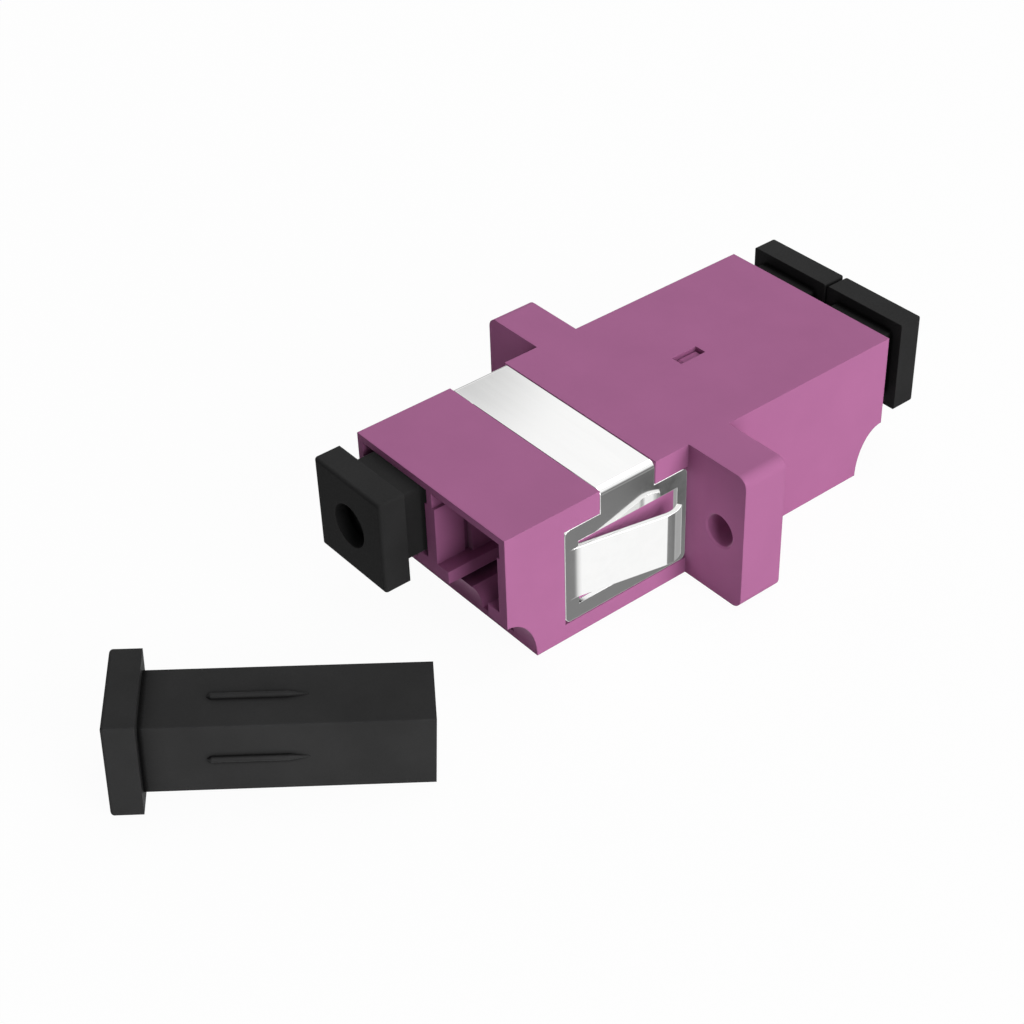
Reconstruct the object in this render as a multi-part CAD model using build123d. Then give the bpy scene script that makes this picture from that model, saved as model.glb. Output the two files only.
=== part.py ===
from build123d import *
from math import asin, cos, degrees, radians, sin
import os

# Duplex fibre optic adapter with a panel flange, a sprung clip and dust plugs.
# Millimetres. The origin is the middle of the line through the two flange holes,
# half way through the flange. +X is to the right, +Y to the rear and +Z is up.

# Housing
body_width = 13.0
body_length = 29.0
body_height = 9.0
flange_width = 22.0
flange_thickness = 3.0
flange_corner = 0.65
hole_margin = 1.9
hole_diameter = 2.0
hole_edge = 0.1

# Hollow cut along the bottom edge of each end, a quarter of an ellipse
end_cut_length = 2.0
end_cut_height = 3.0

# Ports, with depths below the top of the body
port_pitch = 6.25
axis_depth = 2.95
entry_width = 5.4
entry_height = 4.75
entry_depth = 1.95
roof_thickness = 0.45
notch_width = 5.8
notch_height = 1.0
notch_depth = 3.0
groove_width = 5.75
groove_length = 0.3
nose_size = 4.8
web_thickness = 1.0

# Way for the latch of the connector, below each port
shoulder_width = 3.46
shoulder_thickness = 0.85
ear_width = 5.0
ear_height = 0.6
arm_width = 2.7
arm_floor = 0.45
latch_depth = 7.0

# Barrels that hold the alignment sleeves
barrel_diameter = 2.5
barrel_reach = 3.7
barrel_lip = 0.3
lip_bore = 1.36
sleeve_outer = 1.6
sleeve_bore = 1.25
sleeve_slot = 0.2
sleeve_clearance = 0.04
sleeve_end_play = 0.05

# Rear bay of the front housing, with the retainer and the rear housing in it
bay_clearance = 0.05
retainer_thickness = 1.0
window_width = 0.8
window_start = 3.6
window_length = 1.9
hook_clearance = 0.06
hook_length = 1.7
hook_ramp = 0.4
hook_sink = 0.3
arm_thickness = 0.7
arm_length = 6.0
arm_gap = 0.55

# Sprung clip and the recess that it lies in
clip_thickness = 0.3
clip_sink = 0.02
clip_gap = 0.06
clip_bend = 0.4
recess_front = 4.03
recess_bottom = 1.05
recess_drop = 1.5
neck_front = 6.55
neck_width = 4.0
window_front_rail = 0.95
window_rear_rail = 0.7
window_bottom_rail = 0.94
window_top_rail = 1.04
plate_corner = 0.35
spring_width = 3.43
spring_rise = 0.085
spring_root = 0.15
spring_lean = 12.0
spring_lean_radius = 4.0
spring_rear_gap = 1.77
spring_curl = 42.0
spring_curl_radius = 1.5
spring_tip = 0.15

# Dust plugs
plug_head = 6.0
plug_head_thickness = 1.7
plug_face_edge = 0.2
plug_side_edge = 0.1
plug_shank = 4.4
plug_shank_edge = 0.08
plug_tip_gap = 0.2
plug_standoff = 1.5
plug_dimple = 2.7
plug_dimple_depth = 1.0
plug_bore = 3.0
plug_core = 4.0
rib_width = 0.42
rib_height = 0.18
rib_start = 3.3
rib_length = 5.1
rib_taper = 1.0

# The plug that was pulled out lies on the bench in front of its port
loose_x = -0.56
loose_y = -34.77
loose_heading = 55.1

half_length = body_length / 2
top = body_height / 2
underside = -top
front_face = -half_length
flange_face = flange_thickness / 2
hole_spacing = flange_width - 2 * hole_margin
axis_z = top - axis_depth
port_x = port_pitch / 2
roof = top - roof_thickness
floor = roof - entry_height
shoulder = floor - shoulder_thickness
recess_depth = clip_thickness + clip_sink
plug_shank_length = plug_standoff + half_length - web_thickness - plug_tip_gap


def block(x_range, y_range, z_range):
    """A box between two corners."""
    corner = [x_range[0], y_range[0], z_range[0]]
    size = [x_range[1] - x_range[0], y_range[1] - y_range[0], z_range[1] - z_range[0]]
    return Pos(*corner) * Box(*size, align=(Align.MIN, Align.MIN, Align.MIN))


def rod(x, z, y_range, diameter):
    """A round bar along Y."""
    length = y_range[1] - y_range[0]
    bar = Cylinder(diameter / 2, length, align=(Align.CENTER, Align.CENTER, Align.MIN))
    return Pos(x, y_range[0], z) * Rot(X=-90) * bar


def end_cut():
    """The hollow along the bottom edge of the front end, right across the body."""
    section = Plane.YZ * (Pos(front_face, underside) * Ellipse(end_cut_length, end_cut_height))
    return extrude(section, amount=body_width / 2 + 1, both=True)


def port_cut(x):
    """The space of one port, from the front face to the middle web."""
    entry_end = front_face + entry_depth
    groove_end = entry_end + groove_length
    latch_end = front_face + latch_depth
    mouth = front_face - 1

    def slot(width, y_end, z_low, z_high, y_start=mouth):
        return block((x - width / 2, x + width / 2), (y_start, y_end), (z_low, z_high))

    cut = slot(entry_width, groove_end, floor, roof)
    cut += slot(notch_width, front_face + notch_depth, roof - notch_height, roof)
    cut += slot(groove_width, groove_end, floor, roof, entry_end)
    cut += slot(nose_size, -web_thickness, floor, axis_z + nose_size / 2, entry_end)
    cut += slot(shoulder_width, latch_end, shoulder, floor)
    cut += slot(ear_width, latch_end, shoulder - ear_height, shoulder)
    cut += slot(arm_width, latch_end, underside + arm_floor, shoulder - ear_height)
    return cut


def barrel(x):
    """One sleeve barrel on the front of the web, before its bore."""
    return rod(x, axis_z, (-barrel_reach, 0), barrel_diameter)


def barrel_bore(x):
    """The pocket of the sleeve, and the narrowing mouth that keeps it in and leads the ferrule in."""
    pocket = sleeve_outer + 2 * sleeve_clearance
    lip_start = -barrel_reach + barrel_lip
    mouth = Cone(lip_bore / 2, lip_bore / 2 + barrel_lip, barrel_lip,
                 align=(Align.CENTER, Align.CENTER, Align.MIN))
    mouth = Pos(x, lip_start, axis_z) * Rot(X=90) * mouth
    return rod(x, axis_z, (lip_start, 0), pocket) + mouth


def to_rear(shape):
    """The same shape at the rear end."""
    return mirror(shape, about=Plane.XZ)


def flange():
    section = RectangleRounded(flange_width, body_height, flange_corner)
    plate = extrude(Plane.XZ * section, amount=flange_thickness / 2, both=True)
    outline = plate.edges()
    for side in (-1, 1):
        plate -= rod(side * hole_spacing / 2, 0, (-flange_face, flange_face), hole_diameter)
    rims = [edge for edge in plate.edges() - outline if edge.geom_type == GeomType.CIRCLE]
    return chamfer(rims, hole_edge)


def clip_outline(gap):
    """The room that the clip takes at one side and over the top, less a gap all round."""
    y_front = front_face + recess_front + gap
    y_rear = -flange_face - gap
    z_low = underside + recess_bottom + gap
    z_high = top - recess_drop - gap
    y_neck = (front_face + neck_front + gap, front_face + neck_front + neck_width - gap)
    return y_front, y_rear, z_low, z_high, y_neck


def saddle_section(half_width, height, radius):
    """An upright section with rounded top corners, open ended below the top strip."""
    low = top - recess_drop - clip_bend
    section = Pos(0, (height + low) / 2) * Rectangle(2 * half_width, height - low)
    return fillet(section.vertices().group_by(Axis.Y)[-1], radius)


def clip_recess():
    """The shallow recess in the sides and top of the body."""
    y_front, y_rear, z_low, z_high, y_neck = clip_outline(0)
    inner = body_width / 2 - recess_depth
    core = saddle_section(inner, top - recess_depth, clip_bend - clip_thickness)
    core = Pos(0, y_neck[0], 0) * extrude(Plane.XZ * core, amount=-neck_width)
    cut = block((-body_width, body_width), y_neck, (z_high - clip_bend, top + 1)) - core
    for side in (-1, 1):
        x_range = sorted((side * inner, side * body_width))
        cut += block(x_range, (y_front, y_rear), (z_low, z_high))
    return cut


def rear_bay(gap):
    """The space behind the web, wide at the floor and tall in the middle, less a gap at its sides."""
    wide = port_x + entry_width / 2 - gap
    tall = port_x - nose_size / 2 + bay_clearance - gap
    bay = block((-wide, wide), (0, half_length), (shoulder, floor))
    return bay + block((-tall, tall), (0, half_length), (floor, roof - gap))


def snap_window():
    half = window_width / 2
    return block((-half, half), (window_start, window_start + window_length), (roof - 1, top + 1))


def front_housing():
    """The outer moulding: flange, front ports, front barrels and the shell of the rear end."""
    housing = block((-body_width / 2, body_width / 2), (front_face, half_length), (underside, top))
    housing += flange()
    housing -= clip_recess()
    for side in (-1, 1):
        port = port_cut(side * port_x)
        housing -= port
        housing -= to_rear(port)
        x_range = sorted((side * (port_x + nose_size / 2), 0))
        housing -= block(x_range, (0, retainer_thickness + bay_clearance), (floor, axis_z + nose_size / 2))
    housing -= rear_bay(0)
    housing -= snap_window()
    housing -= end_cut()
    housing -= to_rear(end_cut())
    for side in (-1, 1):
        housing += barrel(side * port_x)
        housing -= barrel_bore(side * port_x)
    return housing


def snap_hook():
    """The hook that catches against the rear end of the window, with a ramp at its front."""
    catch = window_start + window_length - hook_clearance
    half = window_width / 2 - hook_clearance
    base = roof - bay_clearance
    side = Polyline((catch, base - arm_thickness / 2), (catch, top - hook_sink),
                    (catch - hook_length + hook_ramp, top - hook_sink), (catch - hook_length, base),
                    (catch - hook_length, base - arm_thickness / 2), close=True)
    return extrude(Plane.YZ * make_face(side), amount=half, both=True)


def rear_housing():
    """The inner moulding, pushed in from behind: port floors, partition and snap arm."""
    y_start = retainer_thickness + bay_clearance
    catch = window_start + window_length
    arm_root = catch - hook_length + arm_length
    housing = rear_bay(bay_clearance)
    housing -= block((-body_width, body_width), (-1, y_start), (underside, top))
    for side in (-1, 1):
        housing -= to_rear(port_cut(side * port_x))
    housing -= to_rear(end_cut())
    housing -= block((-body_width, body_width), (0, catch - hook_length - arm_gap), (roof - arm_thickness, top))
    housing -= block((-body_width, body_width), (0, arm_root),
                     (roof - arm_thickness - arm_gap, roof - arm_thickness))
    return housing + snap_hook()


def sleeve_retainer():
    """The plate with the rear barrels, which shuts the sleeves in from behind."""
    wide = port_x + nose_size / 2 - bay_clearance
    high = axis_z + nose_size / 2 - bay_clearance
    plate = block((-wide, wide), (0, retainer_thickness), (shoulder + bay_clearance, high))
    for side in (-1, 1):
        plate += to_rear(barrel(side * port_x))
        plate -= to_rear(barrel_bore(side * port_x))
    return plate


def split_sleeve(side):
    """The ceramic tube, slit along its length, that lines two ferrules up."""
    half = barrel_reach - barrel_lip - sleeve_end_play
    x = side * port_x
    tube = rod(x, axis_z, (-half, half), sleeve_outer)
    tube -= rod(x, axis_z, (-half, half), sleeve_bore)
    tube -= block((x - sleeve_slot / 2, x + sleeve_slot / 2), (-half, half), (axis_z, axis_z + sleeve_outer))
    return tube


def spring_tongue():
    """The springy tongue of the right side, leaning out towards the flange."""
    y_front, y_rear, z_low, z_high, _ = clip_outline(clip_gap)
    middle = body_width / 2 - clip_sink - clip_thickness / 2
    z = (z_low + window_bottom_rail + z_high - window_top_rail) / 2 + spring_rise
    y_tip = y_rear - window_rear_rail - spring_rear_gap
    start = Line((middle, y_front + spring_root), (middle, y_front + 2 * spring_root))
    lean = JernArc(start @ 1, start % 1, spring_lean_radius, -spring_lean)
    run_length = (y_tip - (lean @ 1).Y) / cos(radians(spring_lean))
    run = Line(lean @ 1, lean @ 1 + (lean % 1) * run_length)
    curl = JernArc(run @ 1, run % 1, spring_curl_radius, spring_curl)
    tip = Line(curl @ 1, curl @ 1 + (curl % 1) * spring_tip)
    path = Pos(0, 0, z) * Wire([start, lean, run, curl, tip])
    section = Plane(origin=path @ 0, x_dir=(1, 0, 0), z_dir=path % 0) * Rectangle(clip_thickness, spring_width)
    return sweep(section, path=path)


def clip_side():
    """The right side plate with its window and tongue."""
    y_front, y_rear, z_low, z_high, _ = clip_outline(clip_gap)
    outer = body_width / 2 - clip_sink
    plate = block((outer - clip_thickness, outer), (y_front, y_rear), (z_low, z_high))
    plate = fillet(plate.edges().filter_by(Axis.X), plate_corner)
    plate -= block((0, body_width), (y_front + window_front_rail, y_rear - window_rear_rail),
                   (z_low + window_bottom_rail, z_high - window_top_rail))
    return plate + spring_tongue()


def mounting_clip():
    """One folded sheet: a strip over the top with a sprung plate down each side."""
    y_neck = clip_outline(clip_gap)[-1]
    outer = body_width / 2 - clip_sink
    height = top - clip_sink
    inner = saddle_section(outer - clip_thickness, height - clip_thickness, clip_bend - clip_thickness)
    arch = saddle_section(outer, height, clip_bend) - inner
    band = Pos(0, y_neck[0], 0) * extrude(Plane.XZ * arch, amount=y_neck[0] - y_neck[1])
    side = clip_side()
    return band + side + mirror(side, about=Plane.YZ)


def guide_rib(turn):
    """A thin half-round ridge along the middle of one shank face, with a long point at its far end."""
    radius = (rib_width ** 2 / 4 + rib_height ** 2) / (2 * rib_height)
    z = plug_shank / 2 + rib_height - radius
    start = plug_head_thickness + rib_start + radius
    end = plug_head_thickness + rib_start + rib_length
    rib = rod(0, z, (start, end - rib_taper), 2 * radius)
    for y, turned, length in ((start, 90, radius), (end - rib_taper, -90, rib_taper)):
        point = Cone(radius, radius / 4, length, align=(Align.CENTER, Align.CENTER, Align.MIN))
        rib += Pos(0, y, z) * Rot(X=turned) * point
    return Rot(Y=turn) * rib


def dust_plug():
    """A plug lying along +Y with the outer face of its head at the origin."""
    head = Box(plug_head, plug_head_thickness, plug_head, align=(Align.CENTER, Align.MIN, Align.CENTER))
    head = fillet(head.edges().filter_by(Axis.Y), plug_side_edge)
    head = fillet(head.faces().sort_by(Axis.Y)[0].edges(), plug_face_edge)
    tip = plug_head_thickness + plug_shank_length
    shank = block((-plug_shank / 2, plug_shank / 2), (plug_head_thickness / 2, tip),
                  (-plug_shank / 2, plug_shank / 2))
    shank = fillet(shank.edges().filter_by(Axis.Y), plug_shank_edge)
    plug = head + shank
    for turn in (0, 90, 180, 270):
        plug += guide_rib(turn)
    plug -= rod(0, 0, (0, plug_dimple_depth), plug_dimple)
    return plug - rod(0, 0, (plug_core, tip), plug_bore)


def fitted_plug(side):
    """A plug in the left (-1) or right (1) front port."""
    y = front_face - plug_standoff - plug_head_thickness
    return Pos(side * port_x, y, axis_z) * dust_plug()


def loose_plug():
    """The plug on the bench, down on the edge of its head and the end of its shank."""
    tilt = asin((plug_head - plug_shank) / 2 / plug_shank_length)
    height = plug_head / 2 * cos(tilt) + plug_head_thickness * sin(tilt)
    lying = Rot(Z=loose_heading - 90) * Rot(X=-degrees(tilt))
    return Pos(loose_x, loose_y, underside + height) * lying * dust_plug()


parts = {
    "front_housing": front_housing(),
    "rear_housing": rear_housing(),
    "sleeve_retainer": sleeve_retainer(),
    "split_sleeve_left": split_sleeve(-1),
    "split_sleeve_right": split_sleeve(1),
    "mounting_clip": mounting_clip(),
    "dust_plug_front_left": fitted_plug(-1),
    "dust_plug_rear_left": to_rear(fitted_plug(-1)),
    "dust_plug_rear_right": to_rear(fitted_plug(1)),
    "dust_plug_loose": loose_plug(),
}

os.makedirs("parts", exist_ok=True)
for name, shape in parts.items():
    export_step(shape, f"parts/{name}.step")
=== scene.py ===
import bpy
from mathutils import Matrix, Vector


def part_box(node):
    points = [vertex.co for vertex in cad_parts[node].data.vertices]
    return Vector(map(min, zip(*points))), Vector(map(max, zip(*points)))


# Duplex fibre optic adapter with a flange, a sprung steel clip and dust plugs.
# Metres. +X is to the right, +Y to the rear and +Z is up, as in the frame.

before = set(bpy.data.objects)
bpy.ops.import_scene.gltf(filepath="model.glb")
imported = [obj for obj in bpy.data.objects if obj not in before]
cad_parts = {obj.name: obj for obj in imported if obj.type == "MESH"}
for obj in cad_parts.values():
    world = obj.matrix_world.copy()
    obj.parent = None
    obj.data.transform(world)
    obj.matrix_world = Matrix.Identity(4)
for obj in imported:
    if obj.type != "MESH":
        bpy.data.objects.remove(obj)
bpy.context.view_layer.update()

VIOLET_NODES = ("front_housing", "rear_housing", "sleeve_retainer")
PLUG_NODES = (
    "dust_plug_front_left",
    "dust_plug_rear_left",
    "dust_plug_rear_right",
    "dust_plug_loose",
)
SLEEVE_NODES = ("split_sleeve_left", "split_sleeve_right")
CLIP_NODES = ("mounting_clip",)

# The camera that took the photograph, solved from the edges of the body
CAMERA_PLACE = (0.0720958, -0.0649877, 0.0702437)
CAMERA_RIGHT = (0.63132398, 0.77499309, -0.02856116)
CAMERA_DOWN = (0.45927677, -0.40330359, -0.79146135)
CAMERA_VIEW = (-0.62489589, 0.48655105, -0.61055155)
CAMERA_LENS_MM = 72.0
CAMERA_SENSOR_MM = 36.0
CAMERA_NEAREST = 0.001
CAMERA_FARTHEST = 20.0

# Colours, linear
VIOLET = (0.458, 0.160, 0.338, 1.0)
BLACK = (0.0232, 0.0232, 0.0234, 1.0)
STEEL = (0.92, 0.92, 0.915, 1.0)
CERAMIC = (0.83, 0.82, 0.78, 1.0)
BENCH = (0.55, 0.55, 0.55, 1.0)
WHITE = (1.0, 1.0, 1.0, 1.0)

# The span of a noise that carries a material from its low value to its high one
NOISE_LOW = 0.3
NOISE_HIGH = 0.7

# Rays that the shaders send out for each rounded edge and each corner
SHADER_SAMPLES = 8

# The bench: how far it reaches from the middle, how white it shows itself to the camera,
# and how much of that white covers its shadow
BENCH_REACH = 1.5
BENCH_GLOW = 1.04
BENCH_GLOW_SHARE = 0.92

# The studio's soft light from all round, and how bright the steel mirrors it
AMBIENT = 0.09
MIRRORED = 1.03

# The dim horizon that the steel mirrors: its height and its half width, as sines,
# and how bright its middle is
HORIZON = (0.02, 0.52, 0.4)

# The grey patches of the studio that the steel mirrors: direction, the cosines at the
# edge and in the middle, and how bright the middle is
PATCHES = (
    # For the right side plate and its upper rear corner
    ((0.589, 0.52, -0.62), 0.957, 0.992, 0.22),
    ((0.581, 0.547, -0.6025), 0.9999, 0.99999, 0.1),
    # For the rolled end of the right tongue
    ((0.10, 0.78, -0.62), 0.88, 0.98, 0.38),
    # For the left end of the strip over the top
    ((-0.70, 0.485, 0.524), 0.9958, 0.9995, 0.6),
    # For the side plates as other views see them
    ((0.65, 0.72, -0.2), 0.87, 0.97, 0.35),
    ((-0.8, -0.45, -0.35), 0.80, 0.96, 0.3),
)


def new_material(name, base, roughness, metallic=0.0, specular=0.5):
    """A material with one shader, which is returned with it."""
    material = bpy.data.materials.new(name)
    material.use_nodes = True
    material.diffuse_color = base
    shader = material.node_tree.nodes["Principled BSDF"]
    shader.inputs["Base Color"].default_value = base
    shader.inputs["Roughness"].default_value = roughness
    shader.inputs["Metallic"].default_value = metallic
    shader.inputs["Specular IOR Level"].default_value = specular
    return material, shader


def add_noise(tree, scale, detail, stretch=(1.0, 1.0, 1.0)):
    """Noise fixed to the object, with its scale in cells per metre."""
    coordinates = tree.nodes.new("ShaderNodeTexCoord")
    mapping = tree.nodes.new("ShaderNodeMapping")
    mapping.inputs["Scale"].default_value = stretch
    noise = tree.nodes.new("ShaderNodeTexNoise")
    noise.inputs["Scale"].default_value = scale
    noise.inputs["Detail"].default_value = detail
    tree.links.new(coordinates.outputs["Object"], mapping.inputs["Vector"])
    tree.links.new(mapping.outputs["Vector"], noise.inputs["Vector"])
    return noise.outputs["Fac"]


def vary(tree, factor, socket, low, high):
    """Drives a number socket from a factor between two values."""
    spread = tree.nodes.new("ShaderNodeMapRange")
    spread.inputs["From Min"].default_value = NOISE_LOW
    spread.inputs["From Max"].default_value = NOISE_HIGH
    spread.inputs["To Min"].default_value = low
    spread.inputs["To Max"].default_value = high
    tree.links.new(factor, spread.inputs["Value"])
    tree.links.new(spread.outputs["Result"], socket)


def tint(tree, factor, socket, base, low, high):
    """Drives a colour socket from a factor, between two brightnesses of the base."""
    ramp = tree.nodes.new("ShaderNodeValToRGB")
    darker, lighter = ramp.color_ramp.elements
    darker.position = NOISE_LOW
    lighter.position = NOISE_HIGH
    darker.color = [c * low for c in base[:3]] + [1.0]
    lighter.color = [c * high for c in base[:3]] + [1.0]
    tree.links.new(factor, ramp.inputs["Fac"])
    tree.links.new(ramp.outputs["Color"], socket)


def add_relief(tree, shader, factor, height, edge_radius):
    """Fine relief over edges that are rounded by the shader alone."""
    bump = tree.nodes.new("ShaderNodeBump")
    bump.inputs["Strength"].default_value = 1.0
    bump.inputs["Distance"].default_value = height
    tree.links.new(factor, bump.inputs["Height"])
    bevel = tree.nodes.new("ShaderNodeBevel")
    bevel.samples = SHADER_SAMPLES
    bevel.inputs["Radius"].default_value = edge_radius
    tree.links.new(bevel.outputs["Normal"], bump.inputs["Normal"])
    tree.links.new(bump.outputs["Normal"], shader.inputs["Normal"])


def shade_crevices(tree, socket, reach, gain):
    """Paints shade into a colour socket in a piece's own corners, where soft light hardly
    gets in.
    """
    source = socket.links[0].from_socket
    corner = tree.nodes.new("ShaderNodeAmbientOcclusion")
    corner.samples = SHADER_SAMPLES
    corner.only_local = True
    corner.inputs["Distance"].default_value = reach
    depth = tree.nodes.new("ShaderNodeMath")
    depth.operation = "POWER"
    depth.inputs[1].default_value = gain
    shade = tree.nodes.new("ShaderNodeVectorMath")
    shade.operation = "SCALE"
    tree.links.new(corner.outputs["AO"], depth.inputs[0])
    tree.links.new(source, shade.inputs[0])
    tree.links.new(depth.outputs["Value"], shade.inputs["Scale"])
    tree.links.new(shade.outputs["Vector"], socket)


def violet_plastic():
    """Moulded thermoplastic with a fine spark-eroded grain."""
    material, shader = new_material("violet_plastic", VIOLET, roughness=0.52, specular=0.04)
    tree = material.node_tree
    colour = shader.inputs["Base Color"]
    cloud = add_noise(tree, scale=260.0, detail=3.0)
    tint(tree, cloud, colour, VIOLET, low=0.97, high=1.03)
    # Painted shade: the base colour is darkened in the housing's own corners and hollows
    shade_crevices(tree, colour, reach=0.0015, gain=0.7)
    grain = add_noise(tree, scale=9000.0, detail=2.0)
    vary(tree, grain, shader.inputs["Roughness"], low=0.47, high=0.57)
    add_relief(tree, shader, grain, height=0.000004, edge_radius=0.00007)
    return material


def black_plastic():
    """Soft black plastic, with painted shade beside the fine ribs and where a shank meets its
    head.
    """
    material, shader = new_material("black_plastic", BLACK, roughness=0.55, specular=0.05)
    tree = material.node_tree
    colour = shader.inputs["Base Color"]
    cloud = add_noise(tree, scale=300.0, detail=3.0)
    tint(tree, cloud, colour, BLACK, low=0.9, high=1.12)
    # Painted shade: the base colour is darkened beside the ribs, in the dimple and where a
    # shank meets its head
    shade_crevices(tree, colour, reach=0.0003, gain=5.0)
    shade_crevices(tree, colour, reach=0.0015, gain=1.0)
    grain = add_noise(tree, scale=7000.0, detail=2.0)
    vary(tree, grain, shader.inputs["Roughness"], low=0.5, high=0.62)
    add_relief(tree, shader, grain, height=0.000004, edge_radius=0.00005)
    return material


def stainless():
    """Bright rolled spring strip with a faint rolling grain across the adapter."""
    material, shader = new_material("stainless", STEEL, roughness=0.08, metallic=1.0)
    tree = material.node_tree
    rolled = add_noise(tree, scale=1500.0, detail=3.0, stretch=(0.06, 1.0, 1.0))
    vary(tree, rolled, shader.inputs["Roughness"], low=0.07, high=0.10)
    tint(tree, rolled, shader.inputs["Base Color"], STEEL, low=0.98, high=1.01)
    add_relief(tree, shader, rolled, height=0.0000004, edge_radius=0.00004)
    return material


def ceramic():
    """Ground and polished zirconia."""
    material, shader = new_material("ceramic", CERAMIC, roughness=0.22, specular=0.6)
    tree = material.node_tree
    ground = add_noise(tree, scale=4000.0, detail=2.0, stretch=(1.0, 0.1, 1.0))
    vary(tree, ground, shader.inputs["Roughness"], low=0.18, high=0.28)
    tint(tree, ground, shader.inputs["Base Color"], CERAMIC, low=0.98, high=1.01)
    add_relief(tree, shader, ground, height=0.000001, edge_radius=0.00004)
    return material


def bench_material():
    """A bench that keeps a soft shadow, shows white to the camera and is clear from below."""
    material = bpy.data.materials.new("bench")
    material.use_nodes = True
    tree = material.node_tree
    tree.nodes.clear()
    output = tree.nodes.new("ShaderNodeOutputMaterial")
    diffuse = tree.nodes.new("ShaderNodeBsdfDiffuse")
    diffuse.inputs["Color"].default_value = BENCH
    glow = tree.nodes.new("ShaderNodeEmission")
    glow.inputs["Strength"].default_value = BENCH_GLOW
    path = tree.nodes.new("ShaderNodeLightPath")
    share = tree.nodes.new("ShaderNodeMath")
    share.operation = "MULTIPLY"
    share.inputs[1].default_value = BENCH_GLOW_SHARE
    from_above = tree.nodes.new("ShaderNodeMixShader")
    tree.links.new(path.outputs["Is Camera Ray"], share.inputs[0])
    tree.links.new(share.outputs["Value"], from_above.inputs["Fac"])
    tree.links.new(diffuse.outputs["BSDF"], from_above.inputs[1])
    tree.links.new(glow.outputs["Emission"], from_above.inputs[2])
    side = tree.nodes.new("ShaderNodeNewGeometry")
    clear = tree.nodes.new("ShaderNodeBsdfTransparent")
    either_side = tree.nodes.new("ShaderNodeMixShader")
    tree.links.new(side.outputs["Backfacing"], either_side.inputs["Fac"])
    tree.links.new(from_above.outputs["Shader"], either_side.inputs[1])
    tree.links.new(clear.outputs["BSDF"], either_side.inputs[2])
    tree.links.new(either_side.outputs["Shader"], output.inputs["Surface"])
    return material


def dress(node, material):
    """Gives a CAD node its material."""
    piece = bpy.data.objects[node]
    piece.data.materials.clear()
    piece.data.materials.append(material)


def add_bench():
    """A flat bench under the housing."""
    z = min(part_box(node)[0][2] for node in VIOLET_NODES)
    r = BENCH_REACH
    corners = [(-r, -r, z), (r, -r, z), (r, r, z), (-r, r, z)]
    mesh = bpy.data.meshes.new("bench")
    mesh.from_pydata(corners, [], [(0, 1, 2, 3)])
    bench = bpy.data.objects.new("bench", mesh)
    bpy.context.collection.objects.link(bench)
    mesh.materials.append(bench_material())
    bench.visible_glossy = False


def shade_lobe(tree, direction, centre, edge, middle, darkest):
    """A soft grey patch of the studio round one direction."""
    dot = tree.nodes.new("ShaderNodeVectorMath")
    dot.operation = "DOT_PRODUCT"
    dot.inputs[1].default_value = Vector(centre).normalized()
    tree.links.new(direction, dot.inputs[0])
    spread = tree.nodes.new("ShaderNodeMapRange")
    spread.interpolation_type = "SMOOTHSTEP"
    spread.inputs["From Min"].default_value = edge
    spread.inputs["From Max"].default_value = middle
    spread.inputs["To Min"].default_value = 1.0
    spread.inputs["To Max"].default_value = darkest
    tree.links.new(dot.outputs["Value"], spread.inputs["Value"])
    return spread.outputs["Result"]


def horizon_band(tree, direction):
    """The brightness of the mirrored studio by height alone, dim near the horizon."""
    middle, half_width, darkest = HORIZON
    parts = tree.nodes.new("ShaderNodeSeparateXYZ")
    offset = tree.nodes.new("ShaderNodeMath")
    offset.operation = "SUBTRACT"
    offset.inputs[1].default_value = middle
    distance = tree.nodes.new("ShaderNodeMath")
    distance.operation = "ABSOLUTE"
    spread = tree.nodes.new("ShaderNodeMapRange")
    spread.interpolation_type = "SMOOTHSTEP"
    spread.inputs["From Min"].default_value = 0.0
    spread.inputs["From Max"].default_value = half_width
    spread.inputs["To Min"].default_value = darkest * MIRRORED
    spread.inputs["To Max"].default_value = MIRRORED
    tree.links.new(direction, parts.inputs["Vector"])
    tree.links.new(parts.outputs["Z"], offset.inputs[0])
    tree.links.new(offset.outputs["Value"], distance.inputs[0])
    tree.links.new(distance.outputs["Value"], spread.inputs["Value"])
    return spread.outputs["Result"]


def mirrored_brightness(tree):
    """The brightness of the studio in each direction, as the steel mirrors it."""
    direction = tree.nodes.new("ShaderNodeTexCoord").outputs["Generated"]
    brightness = horizon_band(tree, direction)
    for patch in PATCHES:
        darken = tree.nodes.new("ShaderNodeMath")
        darken.operation = "MULTIPLY"
        tree.links.new(brightness, darken.inputs[0])
        tree.links.new(shade_lobe(tree, direction, *patch), darken.inputs[1])
        brightness = darken.outputs["Value"]
    return brightness


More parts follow.
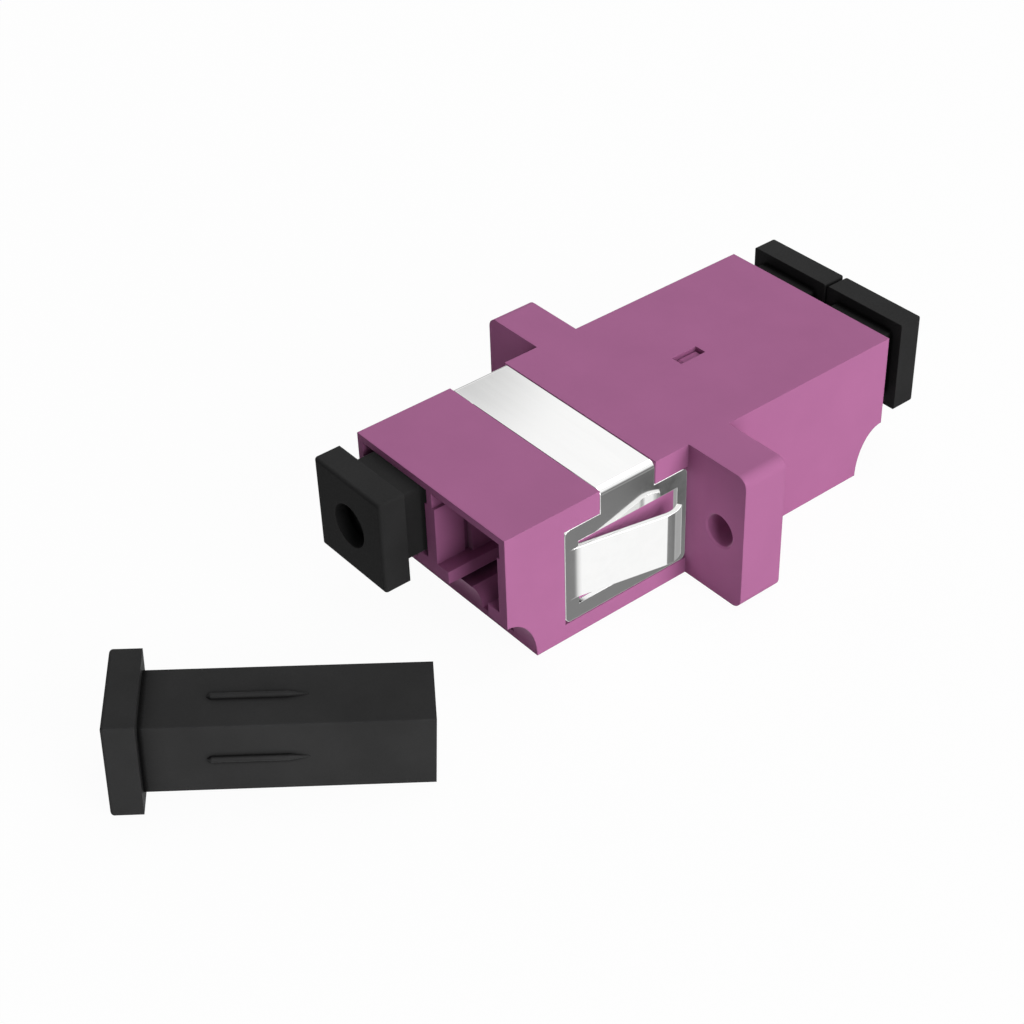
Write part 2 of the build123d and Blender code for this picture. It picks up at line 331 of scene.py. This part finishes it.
def add_world():
    """Soft light from all round, white to the camera, and patched where it is mirrored."""
    world = bpy.data.worlds.new("studio")
    bpy.context.scene.world = world
    world.use_nodes = True
    tree = world.node_tree
    tree.nodes.clear()
    output = tree.nodes.new("ShaderNodeOutputWorld")
    ambient = tree.nodes.new("ShaderNodeBackground")
    backdrop = tree.nodes.new("ShaderNodeBackground")
    mirrored = tree.nodes.new("ShaderNodeBackground")
    for background in (ambient, backdrop, mirrored):
        background.inputs["Color"].default_value = WHITE
    ambient.inputs["Strength"].default_value = AMBIENT
    tree.links.new(mirrored_brightness(tree), mirrored.inputs["Strength"])
    path = tree.nodes.new("ShaderNodeLightPath")
    seen = tree.nodes.new("ShaderNodeMath")
    seen.operation = "MAXIMUM"
    show = tree.nodes.new("ShaderNodeMixShader")
    mirror = tree.nodes.new("ShaderNodeMixShader")
    tree.links.new(path.outputs["Is Camera Ray"], seen.inputs[0])
    tree.links.new(path.outputs["Is Transmission Ray"], seen.inputs[1])
    tree.links.new(seen.outputs["Value"], show.inputs["Fac"])
    tree.links.new(ambient.outputs["Background"], show.inputs[1])
    tree.links.new(backdrop.outputs["Background"], show.inputs[2])
    tree.links.new(path.outputs["Is Glossy Ray"], mirror.inputs["Fac"])
    tree.links.new(show.outputs["Shader"], mirror.inputs[1])
    tree.links.new(mirrored.outputs["Background"], mirror.inputs[2])
    tree.links.new(mirror.outputs["Shader"], output.inputs["Surface"])


def add_lamp(name, place, size, power, mirrored=True, only=()):
    """A square softbox that faces the adapter and lights every piece, or only those named."""
    data = bpy.data.lights.new(name, "AREA")
    data.shape = "SQUARE"
    data.size = size
    data.energy = power
    lamp = bpy.data.objects.new(name, data)
    lamp.location = place
    lamp.rotation_euler = (-Vector(place)).to_track_quat("-Z", "Y").to_euler()
    lamp.visible_glossy = mirrored
    if only:
        receivers = bpy.data.collections.new(name)
        for node in only:
            receivers.objects.link(bpy.data.objects[node])
        lamp.light_linking.receiver_collection = receivers
    bpy.context.collection.objects.link(lamp)


def add_camera():
    """The photograph's camera."""
    data = bpy.data.cameras.new("camera")
    data.sensor_fit = "HORIZONTAL"
    data.sensor_width = CAMERA_SENSOR_MM
    data.lens = CAMERA_LENS_MM
    data.clip_start = CAMERA_NEAREST
    data.clip_end = CAMERA_FARTHEST
    camera = bpy.data.objects.new("camera", data)
    right = Vector(CAMERA_RIGHT)
    up = -Vector(CAMERA_DOWN)
    back = -Vector(CAMERA_VIEW)
    turn = Matrix((right, up, back)).transposed()
    camera.matrix_world = Matrix.Translation(CAMERA_PLACE) @ turn.to_4x4()
    bpy.context.collection.objects.link(camera)
    bpy.context.scene.camera = camera


for nodes, material in (
    (VIOLET_NODES, violet_plastic()),
    (PLUG_NODES, black_plastic()),
    (SLEEVE_NODES, ceramic()),
    (CLIP_NODES, stainless()),
):
    for node in nodes:
        dress(node, material)

# The clip mirrors the white studio and not the housing, as in the photograph
for node in VIOLET_NODES:
    bpy.data.objects[node].visible_glossy = False

add_bench()
add_world()
add_lamp("key", (0.55, 0.02, 0.17), size=0.5, power=3.7)
add_lamp("top", (-0.05, 0.25, 0.6), size=0.6, power=1.7)
add_lamp("front", (0.3, -0.55, 0.07), size=0.4, power=0.15)
add_lamp("fill", (-0.5, 0.2, 0.15), size=0.4, power=0.8, mirrored=False)
# The photograph has the bench plug's side lighter than the other lamps make it
add_lamp(
    "bench plug", (0.33, -0.25, 0.03), size=0.2, power=1.1, mirrored=False,
    only=("dust_plug_loose",),
)
add_camera()

bpy.context.scene.view_settings.view_transform = "Standard"
